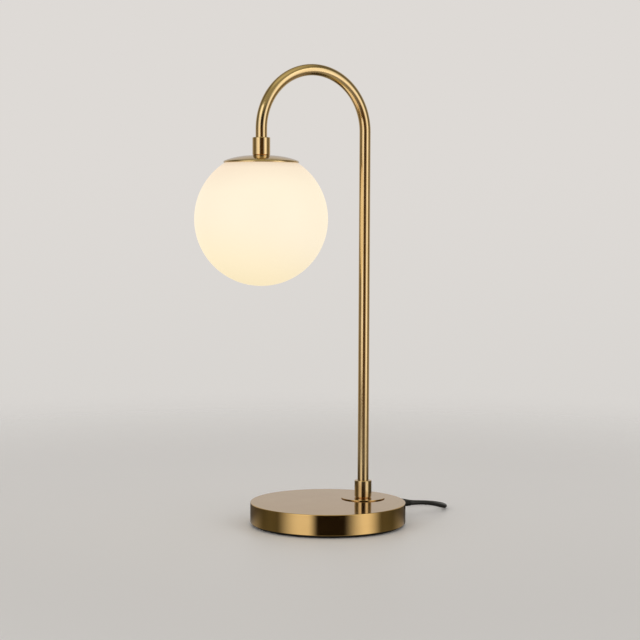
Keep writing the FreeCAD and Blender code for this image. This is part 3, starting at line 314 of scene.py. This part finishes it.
def turned_brass(name, centre_x, tints, roughness):
    """Satin brass turned on a lathe: fine rings round a vertical axis, lacquered."""
    graph = new_graph(name)
    x, y, z = graph.parts(graph.place())
    x = x - centre_x / MM
    radius = (x * x + y * y) ** 0.5
    angle = graph.node("Math", {"operation": "ARCTAN2"}, {0: y, 1: x})
    rings = graph.noise(graph.join(radius * 0.9, z * 0.9, angle * 0.5), 1.0)
    bands = graph.noise(graph.join(radius * 0.35, z * 0.35, angle * 0.25), 1.0)
    clouds = graph.noise(graph.place(), 0.035)
    return graph.surface(
        Base_Color=graph.mix(clouds * 0.7 + bands * 0.3, *tints), Metallic=1.0,
        Roughness=roughness + (rings + bands - 1) * 0.04, Specular_Tint=BRASS_EDGE,
        Anisotropic=0.3, Anisotropic_Rotation=0.25, Normal=graph.bump(rings, 0.01, 0.05))


def drawn_brass():
    """Satin brass tube, polished along its length and lacquered."""
    graph = new_graph("drawn_brass")
    x, y, z = graph.parts(graph.place())
    grain = graph.noise(graph.join(x * 0.4, y * 0.4, z * 0.05), 1.0)
    clouds = graph.noise(graph.place(), 0.04)
    return graph.surface(
        Base_Color=graph.mix(clouds * 0.7 + grain * 0.3, *PALE_BRASS), Metallic=1.0,
        Roughness=0.15 + (grain + clouds - 1) * 0.04, Specular_Tint=BRASS_EDGE,
        Normal=graph.bump(clouds, 0.02, 0.4))


def lit_opal():
    """Opal glass with the lamp on: a warm glow, yellower towards the foot and rosier and dimmer towards the
    cap, with painted shade in a band just under the cap's rim.
    """
    graph = new_graph("lit_opal_glass")
    x, y, z = graph.parts(graph.place())
    radius = GLOBE_RADIUS / MM
    across = (x - HEAD_X / MM) / radius
    deep = y / radius
    up = (z - GLOBE_Z / MM) / radius
    clouds = graph.noise(graph.place(), 0.02)
    foot = (0 - up - across * 0.3).steps(0.1, 1.1)
    crown = (up + deep * 0.15).steps(0.3, 0.9)
    # Painted shade: the glow is dimmer in a band just under the cap's rim, laid over the glow at half
    # strength.
    lip = up.steps(0.75, 0.83)
    glow = graph.mix(foot * 0.9, (0.77, 0.665, 0.485, 1), (0.80, 0.67, 0.41, 1))
    glow = graph.mix(crown * 0.9 + (clouds - 0.5) * 0.15, glow, (0.72, 0.56, 0.40, 1))
    glow = graph.mix(lip * 0.5, glow, (0.56, 0.44, 0.31, 1))
    return graph.surface(
        Base_Color=graph.mix(clouds, (0.28, 0.27, 0.25, 1), (0.31, 0.295, 0.27, 1)),
        Roughness=0.5 + clouds * 0.06, Emission_Color=glow, Emission_Strength=1.0,
        Normal=graph.bump(clouds, 0.02, 0.3))


def soft_black(name, level, roughness):
    """Black rubber or cable sheath with a fine moulded grain; level is its grey, 0 to 255."""
    graph = new_graph(name)
    speckle = graph.noise(graph.place(), 4.0, 3.0, 0.6)
    wear = graph.noise(graph.place(), 0.12, 3.0)
    return graph.surface(
        Base_Color=graph.mix(wear, colour(level, level, level), colour(level + 12, level + 11, level + 10)),
        Roughness=roughness - 0.06 + wear * 0.12, Normal=graph.bump(speckle, 0.12, 0.05))


def moulded(name, shade, roughness=0.42, grain=0.2):
    """Spark-textured moulded plastic."""
    graph = new_graph(name)
    speckle = graph.noise(graph.place(), 2.6, 4.0, 0.65)
    wear = graph.noise(graph.place(), 0.1, 3.0)
    lighter = tuple(min(1.0, part * 1.35 + 0.004) for part in shade[:3]) + (1.0,)
    return graph.surface(
        Base_Color=graph.mix(wear * 0.6 + speckle * 0.4, shade, lighter),
        Roughness=roughness - 0.08 + speckle * 0.16, Normal=graph.bump(speckle, grain, 0.05))


def plated_steel():
    """Zinc-plated steel, slightly clouded."""
    graph = new_graph("plated_steel")
    clouds = graph.noise(graph.place(), 0.25, 4.0, 0.6)
    fine = graph.noise(graph.place(), 2.5)
    return graph.surface(
        Base_Color=graph.mix(clouds, colour(176, 176, 172), colour(206, 204, 196)), Metallic=1.0,
        Roughness=0.26 + clouds * 0.16, Normal=graph.bump(fine, 0.06, 0.05))


def rough_casting():
    """Cast iron with a sandy skin."""
    graph = new_graph("rough_casting")
    sand = graph.noise(graph.place(), 1.1, 5.0, 0.7)
    return graph.surface(
        Base_Color=graph.mix(sand, colour(44, 43, 42), colour(78, 74, 70)), Metallic=0.6,
        Roughness=0.55 + sand * 0.25, Normal=graph.bump(sand, 0.6, 0.2))


def fired_ceramic():
    """Unglazed white ceramic."""
    graph = new_graph("fired_ceramic")
    specks = graph.noise(graph.place(), 1.6, 4.0, 0.6)
    return graph.surface(
        Base_Color=graph.mix(specks, colour(236, 232, 220), colour(222, 216, 202)),
        Roughness=0.5 + specks * 0.15, Normal=graph.bump(specks, 0.15, 0.05))


def contact_metal():
    """Plain brass of blades, barrels and contacts, rubbed bright in level streaks."""
    graph = new_graph("contact_metal")
    x, y, z = graph.parts(graph.place())
    rubs = graph.noise(graph.join(x * 0.4, y * 0.4, z * 3.0), 1.0, 4.0, 0.6)
    return graph.surface(
        Base_Color=graph.mix(rubs, colour(206, 176, 112), colour(232, 208, 150)), Metallic=1.0,
        Roughness=0.2 + rubs * 0.16, Normal=graph.bump(rubs, 0.05, 0.05))


def bulb_envelope():
    """Clear glass envelope with a faint haze."""
    graph = new_graph("bulb_envelope")
    haze = graph.noise(graph.place(), 0.3, 3.0)
    return graph.surface(
        Base_Color=graph.mix(haze, (0.94, 0.93, 0.9, 1), (0.99, 0.98, 0.95, 1)),
        Roughness=0.03 + haze * 0.06, Transmission_Weight=1.0, IOR=1.47)


def glowing_core():
    """The lit light engine inside the bulb."""
    graph = new_graph("glowing_core")
    x, y, z = graph.parts(graph.place())
    chips = graph.node("TexVoronoi", sockets={"Vector": graph.join(x, y, z * 0.6), "Scale": 0.55})
    return graph.surface(
        Base_Color=graph.mix(chips, colour(255, 236, 190), colour(244, 214, 150)),
        Roughness=0.5 + chips * 0.1, Emission_Strength=2.0,
        Emission_Color=graph.mix(chips, (1.0, 0.80, 0.50, 1), (0.9, 0.62, 0.34, 1)))


# ---------------------------------------------------------------- mesh building

# A radius below this is a point on the axis.
ON_AXIS = 1e-6
# Faces that meet at a larger turn keep a sharp edge between them.
SHARP_TURN = math.radians(35)
# Steps of an arc that rounds a corner.
ROUND_STEPS = 5


def swing(centre, start, end, steps):
    """Points on the arc about a centre from start to end."""
    spoke = start - centre
    turn = -spoke.angle_signed(end - centre)
    return [centre + Matrix.Rotation(turn * step / steps, 2) @ spoke for step in range(steps + 1)]


def bulge(start, end, radius, steps):
    """Points on the arc of that radius that bulges up and outward from start to end."""
    chord = end - start
    rise = math.sqrt(radius * radius - chord.length_squared / 4)
    centre = (start + end) / 2 + Vector((chord.y, -chord.x)).normalized() * rise
    return swing(centre, start, end, steps)


def rounded(corners):
    """A closed outline of points; corners are (radius, height, rounding), all in metres."""
    points = []
    for index, (across, up, rounding) in enumerate(corners):
        here = Vector((across, up))
        if rounding <= 0:
            points.append(here)
            continue
        before = (Vector(corners[index - 1][:2]) - here).normalized()
        after = (Vector(corners[(index + 1) % len(corners)][:2]) - here).normalized()
        half = before.angle(after) / 2
        reach = rounding / math.tan(half)
        centre = here + (before + after).normalized() * (rounding / math.sin(half))
        points += swing(centre, here + before * reach, here + after * reach, ROUND_STEPS)
    return points


def spokes(count):
    """Cosine and sine of evenly spaced angles, once round."""
    angles = [2 * math.pi * index / count for index in range(count)]
    return [(math.cos(angle), math.sin(angle)) for angle in angles]


def lathe(outline, centre_x, count):
    """Rings that turn a closed outline of (radius, height) points about a vertical axis."""
    wheel = spokes(count)
    rings = []
    for radius, height in outline:
        if radius < ON_AXIS:
            rings.append([(centre_x, 0, height)])
        else:
            rings.append([(centre_x + radius * x, radius * y, height) for x, y in wheel])
    return rings


def mesh_from(build, name):
    """Writes what was built into a mesh."""
    mesh = bpy.data.meshes.new(name)
    build.to_mesh(mesh)
    build.free()
    return mesh


def skin(name, rings):
    """A closed mesh over rings of points: each ring joins the next, and the last one the first."""
    build = bmesh.new()
    rows = [[build.verts.new(point) for point in ring] for ring in rings]
    count = max(len(row) for row in rows)
    for row, after in zip(rows, rows[1:] + rows[:1]):
        if len(row) == 1 and len(after) == 1:
            continue
        for index in range(count):
            beside = (index + 1) % count
            corners = [row[index % len(row)], row[beside % len(row)],
                       after[beside % len(after)], after[index % len(after)]]
            build.faces.new(list(dict.fromkeys(corners)))
    bmesh.ops.recalc_face_normals(build, faces=build.faces)
    return mesh_from(build, name)


def new_piece(name, rings, finish, node, body="root"):
    """Makes a piece of the lamp that stands for a node, shaded smooth with its flat faces flat."""
    mesh = skin(name, rings)
    mesh.materials.append(finish)
    mesh.shade_smooth()
    mesh.set_sharp_from_angle(angle=SHARP_TURN)
    piece = add_object(name, mesh)
    flats = piece.modifiers.new("flat_faces", "WEIGHTED_NORMAL")
    flats.keep_sharp = True
    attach(piece, body)
    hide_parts(node)


# ---------------------------------------------------------------- brass pieces


def base_shell(finish):
    """Spun shell of the base, rolled over at its upper edge."""
    wall = 1.5 * MM
    top = high_of("base_shell")
    bottom = low_of("base_shell")
    inside = BASE_RADIUS - wall
    corners = [(0, top - wall, 0), (inside, top - wall, 0.8 * MM), (inside, bottom, 0.3 * MM),
               (BASE_RADIUS, bottom, 0.6 * MM), (BASE_RADIUS, top, 0.9 * MM), (0, top, 0)]
    rings = lathe(rounded(corners), 0, count=384)
    new_piece("turned_base_shell", rings, finish, "base_shell")


def stem_plate(finish):
    """Thin round plate with a shadow gap under its edge."""
    radius = radius_of("stem_plate")
    low = low_of("stem_plate")
    high = high_of("stem_plate")
    foot = radius - 1.6 * MM
    brim = low + 0.75 * MM
    corners = [(ROD_BORE, low, 0), (foot, low, 0), (foot, brim, 0), (radius, brim, 0.05 * MM),
               (radius, high, 0.38 * MM), (ROD_BORE, high, 0)]
    rings = lathe(rounded(corners), STEM_X, count=192)
    new_piece("turned_stem_plate", rings, finish, "stem_plate")


def collar(node, centre_x, finish):
    """Turned collar, undercut at its foot, with a round top edge."""
    low = low_of(node)
    high = high_of(node)
    wide = radius_of(node)
    undercut = 1.1 * MM
    neck = wide - undercut
    seat = TUBE_RADIUS + 0.04 * MM
    seat_floor = high - SEAT_DEPTH
    corners = [(ROD_BORE, low, 0), (neck, low, 0), (neck, low + 0.3 * MM, 0.1 * MM),
               (wide, low + undercut, 0.1 * MM), (wide, high, 0.8 * MM), (seat, high, 0.25 * MM),
               (seat, seat_floor, 0), (ROD_BORE, seat_floor, 0)]
    rings = lathe(rounded(corners), centre_x, count=128)
    new_piece("turned_" + node, rings, finish, node)


def tube_line():
    """Centre line of the tube; each point has the direction that faces away from the arch's centre."""
    foot = low_of("arc_tube")
    stem_steps, arch_steps = 24, 72
    outward = Vector((1, 0, 0))
    line = [(Vector((STEM_X, 0, foot + (SPRINGING - foot) * step / stem_steps)), outward)
            for step in range(stem_steps)]
    arch_centre = Vector((STEM_X - ARCH_RADIUS, 0, SPRINGING))
    for step in range(arch_steps + 1):
        angle = math.pi * step / arch_steps
        outward = Vector((math.cos(angle), 0, math.sin(angle)))
        line.append((arch_centre + outward * ARCH_RADIUS, outward))
    line.append((Vector((HEAD_X, 0, high_of("upper_collar") - SEAT_DEPTH)), outward))
    return line


def arc_tube(finish):
    """Hollow brass tube: stem, half-circle arch and drop."""
    wall = 1 * MM
    line = tube_line()
    aside = Vector((0, 1, 0))
    rings = [[place + (aside * cosine + outward * sine) * radius for cosine, sine in spokes(64)]
             for radius, way in ((TUBE_RADIUS, line), (TUBE_RADIUS - wall, line[::-1]))
             for place, outward in way]
    new_piece("drawn_arc_tube", rings, finish, "arc_tube")


def shade_cap(finish):
    """Shallow domed cap with a tight turned-down lip."""
    top = high_of("shade_cap")
    rim = low_of("shade_cap")
    wide = radius_of("shade_cap")
    bore = 5.2 * MM
    wall = 1.0 * MM
    flat = 10.2 * MM
    stations = [Vector((flat, top)), Vector((35 * MM, top - 3.6 * MM)),
                Vector((wide - 1.34 * MM, top - 5.81 * MM)), Vector((wide, rim + 0.26 * MM))]
    # Each arc's radius, its steps, and how far the inside lies below it, as a share of the wall.
    arcs = ((87.2 * MM, 16, 1.0), (57.7 * MM, 8, 0.6), (2.2 * MM, 12, 0.6))
    outside = stations[:1]
    inside = [Vector((flat, top - wall))]
    for start, end, (radius, steps, share) in zip(stations, stations[1:], arcs):
        arc = bulge(start, end, radius, steps)[1:]
        outside += arc
        inside += [point - wall * Vector((0.95, share)) for point in arc]
    outline = [(bore, top), *outside, (wide - 0.2 * MM, rim), (wide - wall, rim),
               *reversed(inside[:-1]), (bore, top - wall)]
    rings = lathe(outline, HEAD_X, count=256)
    new_piece("spun_cap", rings, finish, "shade_cap")


# ---------------------------------------------------------------- glass and rubber pieces


def globe(finish):
    """Blown opal ball with a ground lip and an inner wall."""
    steps = 72
    wall = 3 * MM
    mouth = 35 * MM
    inner = GLOBE_RADIUS - wall
    cut = high_of("opal_globe") - GLOBE_Z
    centre = Vector((0, GLOBE_Z))
    outer_lip = centre + Vector((math.sqrt(GLOBE_RADIUS ** 2 - cut ** 2), cut))
    inner_lip = centre + Vector((mouth, math.sqrt(inner ** 2 - mouth ** 2)))
    outline = swing(centre, centre - Vector((0, GLOBE_RADIUS)), outer_lip, steps)
    outline += swing(centre, inner_lip, centre - Vector((0, inner)), steps)
    rings = lathe(outline, HEAD_X, count=192)
    new_piece("opal_ball", rings, finish, "opal_globe", body="globe")


def strain_relief(finish):
    """Tapered rubber sleeve with soft ribs where the cord leaves the rim."""
    low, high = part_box("cord_bush")
    start, end = low[0], high[0]
    root = (high[2] - low[2]) / 2
    tip = 2.95 * MM
    bore = 2.55 * MM
    neck = 3.4 * MM
    back = BASE_RADIUS - 1.7 * MM
    face = BASE_RADIUS + 0.1 * MM
    shoulder = BASE_RADIUS + 2 * MM
    outline = [(bore, start), (root, start), (root, back), (neck, back), (neck, face),
               (root - 0.3 * MM, face), (root, BASE_RADIUS + 0.5 * MM), (root, shoulder)]
    reach = end - shoulder
    rib_depth = 0.55 * MM
    rib_pitch = 4.6 * MM
    steps = 96
    for step in range(1, steps + 1):
        along = (reach - 0.4 * MM) * step / steps
        taper = root - (root - tip) * along / reach
        ribbed = 2 * MM < along < 20.5 * MM
        wave = max(0.0, math.sin((along - 1.6 * MM) * 2 * math.pi / rib_pitch)) if ribbed else 0.0
        outline.append((taper - rib_depth * wave ** 0.6, shoulder + along))
    outline += [(2.75 * MM, end), (bore, end)]
    height = middle("cord_bush").z
    rings = [[(along, side, height + across) for across, side, along in ring]
             for ring in lathe(outline, 0, count=64)]
    new_piece("ribbed_strain_relief", rings, finish, "cord_bush")


# ---------------------------------------------------------------- carried-over nodes


def dress_nodes(finishes):
    """Gives every node that stays its finish."""
    groups = {
        "casting": ("base_weight",),
        "steel": ("bottom_cover", "cover_screws", "stem_rod", "stem_washer", "stem_nut", "cap_washer",
                  "globe_carrier", "holder_cup", "head_rod", "head_nut", "bulb_pins", "switch_screws"),
        "rubber": ("foot_pad", "cap_gasket", "plug_relief", "switch_sleeve_in", "switch_sleeve_out"),
        "cord": ("supply_lead", "switch_leads"),
        "black": ("switch_base", "switch_lid", "plug_body"),
        "key": ("switch_rocker",),
        "pale": ("terminal_block", "cord_clamp", "lamp_wires"),
        "ceramic": ("holder_body", "bulb_foot"),
        "contact": ("terminal_screws", "holder_contacts", "switch_contacts", "plug_blades"),
        "bulb": ("bulb_glass",),
        "glow": ("bulb_core",),
    }
    for group, names in groups.items():
        for name in names:
            for slot in frame["nodes"][name].material_slots:
                slot.link = "OBJECT"
                slot.material = finishes[group]


# ---------------------------------------------------------------- studio

# Level directions as the camera looks: ahead, and to its right.
VIEW_AHEAD = Vector((0.513, 0.858, 0))
VIEW_RIGHT = Vector((0.858, -0.513, 0))
PANEL_DISTANCE = 1.5
PANEL_TOP = 1.45
FLOOR_RADIUS = 1.6


def floor():
    """Plain pale floor, with painted shade darkening it towards the viewer, that fades into the backdrop;
    the brass mirrors a dark gloss at the lamp's sides.
    """
    graph = new_graph("pale_floor")
    x, y = graph.parts(graph.place())[:2]
    away = (x * x + y * y) ** 0.5
    ahead = x * VIEW_AHEAD.x + y * VIEW_AHEAD.y
    across = x * VIEW_RIGHT.x + y * VIEW_RIGHT.y
    beside = abs(across).steps(50, 100)
    near = 1 - away.steps(260, 560)
    mirrored = graph.node("LightPath", out="Is Glossy Ray")
    # Painted shade: the floor is darker towards the viewer than behind the lamp.
    pale = graph.mix(ahead.steps(-600, 450), colour(226, 224, 222), colour(245, 243, 241))
    dark = graph.mix(ahead.steps(-90, 50) * beside, (0.72, 0.68, 0.62, 1), (0.06, 0.05, 0.03, 1))
    gloss = graph.mix(near, (0.34, 0.30, 0.26, 1), dark)
    sheen = graph.node("BsdfPrincipled", sockets={
        "Base Color": graph.mix(mirrored, pale, gloss), "Metallic": mirrored * near,
        "Roughness": 0.5 - mirrored * 0.46, "IOR": 1.5})
    dull = graph.node("BsdfDiffuse", sockets={"Color": (0.05, 0.035, 0.02, 1)})
    gloom = mirrored * near * beside * ahead.steps(-20, 60) * 0.65
    top = graph.node("MixShader", sockets={0: gloom, 1: sheen, 2: dull})
    clear = graph.node("BsdfTransparent")
    faded = graph.node("MixShader", sockets={0: away.steps(420, 1500), 1: top, 2: clear})
    graph.node("OutputMaterial", sockets={"Surface": faded})
    build = bmesh.new()
    bmesh.ops.create_circle(build, cap_ends=True, segments=96, radius=FLOOR_RADIUS)
    mesh = mesh_from(build, "floor")
    mesh.materials.append(graph.owner)
    stage = add_object("floor", mesh)
    stage.location.z = -0.2 * MM


def softbox(name, heading, width, low, radiance, inner, outer):
    """An upright lit panel that stands about the lamp, brightest between its two faded sides.

    heading is degrees to the right of the viewer's side; inner and outer are the faded shares of its width.
    """
    height = PANEL_TOP - low
    data = bpy.data.lights.new(name, "AREA")
    data.shape = "RECTANGLE"
    data.size, data.size_y = width, height
    data.energy = radiance * math.pi * width * height
    data.color = (1.0, 0.98, 0.94)
    graph = Graph(data)
    across = graph.parts(graph.node("NewGeometry", out="Parametric"))[0]
    across = across if heading > 0 else 1 - across
    lit = across.steps(0, inner) * (1 - across.steps(1 - outer, 1))
    glow = graph.node("Emission", sockets={"Strength": lit})
    graph.node("OutputLight", sockets={"Surface": glow})
    lamp = add_object(name, data)
    turn = math.radians(heading)
    place = (VIEW_RIGHT * math.sin(turn) - VIEW_AHEAD * math.cos(turn)) * PANEL_DISTANCE
    lamp.rotation_euler = (-place).to_track_quat("-Z", "Y").to_euler()
    place.z = (PANEL_TOP + low) / 2
    lamp.location = place
    lamp.visible_camera = False


def world():
    """Pale backdrop behind the lamp and light from above, dim beside and before it."""
    studio = bpy.data.worlds.new("studio")
    bpy.context.scene.world = studio
    graph = Graph(studio)
    heading = graph.node("TexCoord", out="Generated")
    behind = graph.node("VectorMath", {"operation": "DOT_PRODUCT"}, {0: heading, 1: VIEW_AHEAD}, "Value")
    z = graph.parts(heading)[2]
    backdrop = graph.mix(z.steps(-0.2, 0.05), colour(214, 211, 207), colour(222, 218, 214))
    front = graph.mix(z.steps(0.01, 0.12), (0.07, 0.032, 0.003, 1), (0.012, 0.007, 0.004, 1))
    above = z.steps(0.22, 0.45) * (1 - behind.steps(-0.5, 0.1)) * 0.3 + z.steps(0.8, 0.95) * 0.3
    glow = above + behind.steps(-0.75, 0.1) * 0.13
    mirrored = graph.mix(glow, front, (1.0, 0.93, 0.6, 1))
    mirrored = graph.mix(behind.steps(0.3, 0.95) * (1 - z.steps(0.5, 0.85)), mirrored, backdrop)
    glossy, camera, passing = [graph.node("LightPath", out=ray) for ray in (
        "Is Glossy Ray", "Is Camera Ray", "Is Transmission Ray")]
    indirect = graph.mix(glossy, (0.58, 0.57, 0.56, 1), mirrored)
    seen = graph.mix(camera + passing, indirect, backdrop)
    light = graph.node("Background", sockets={"Color": seen, "Strength": 1.0})
    graph.node("OutputWorld", sockets={"Surface": light})


# ---------------------------------------------------------------- the whole scene


def build_scene():
    """Camera and cords first, then the finishes, the pieces and the studio."""
    add_camera()
    finishes = {"cord": soft_black("cord_sheath", level=34, roughness=0.42)}
    add_cords(finishes["cord"])
    finishes.update({
        "casting": rough_casting(),
        "steel": plated_steel(),
        "rubber": soft_black("foot_rubber", level=20, roughness=0.62),
        "black": moulded("black_moulding", colour(26, 26, 27)),
        "key": moulded("rocker_moulding", colour(38, 38, 40), roughness=0.3, grain=0.05),
        "pale": moulded("pale_moulding", colour(226, 224, 216)),
        "ceramic": fired_ceramic(),
        "contact": contact_metal(),
        "bulb": bulb_envelope(),
        "glow": glowing_core(),
    })
    dress_nodes(finishes)
    base_shell(turned_brass("turned_brass_base", 0, RICH_BRASS, roughness=0.09))
    stem_plate(turned_brass("turned_brass_plate", STEM_X, RICH_BRASS, roughness=0.09))
    stem_brass = turned_brass("turned_brass_stem", STEM_X, PALE_BRASS, roughness=0.14)
    head_brass = turned_brass("turned_brass_head", HEAD_X, PALE_BRASS, roughness=0.14)
    collar("lower_collar", STEM_X, stem_brass)
    collar("upper_collar", HEAD_X, head_brass)
    shade_cap(head_brass)
    arc_tube(drawn_brass())
    globe(lit_opal())
    strain_relief(finishes["rubber"])
    floor()
    world()
    softbox("left_softbox", heading=-46.7, width=1.95, low=0, radiance=1.1, inner=0.27, outer=0.595)
    softbox("right_softbox", heading=53.3, width=1.84, low=-0.3, radiance=1.2, inner=0.53, outer=0.47)
    bpy.context.scene.view_settings.view_transform = "Standard"


build_scene()
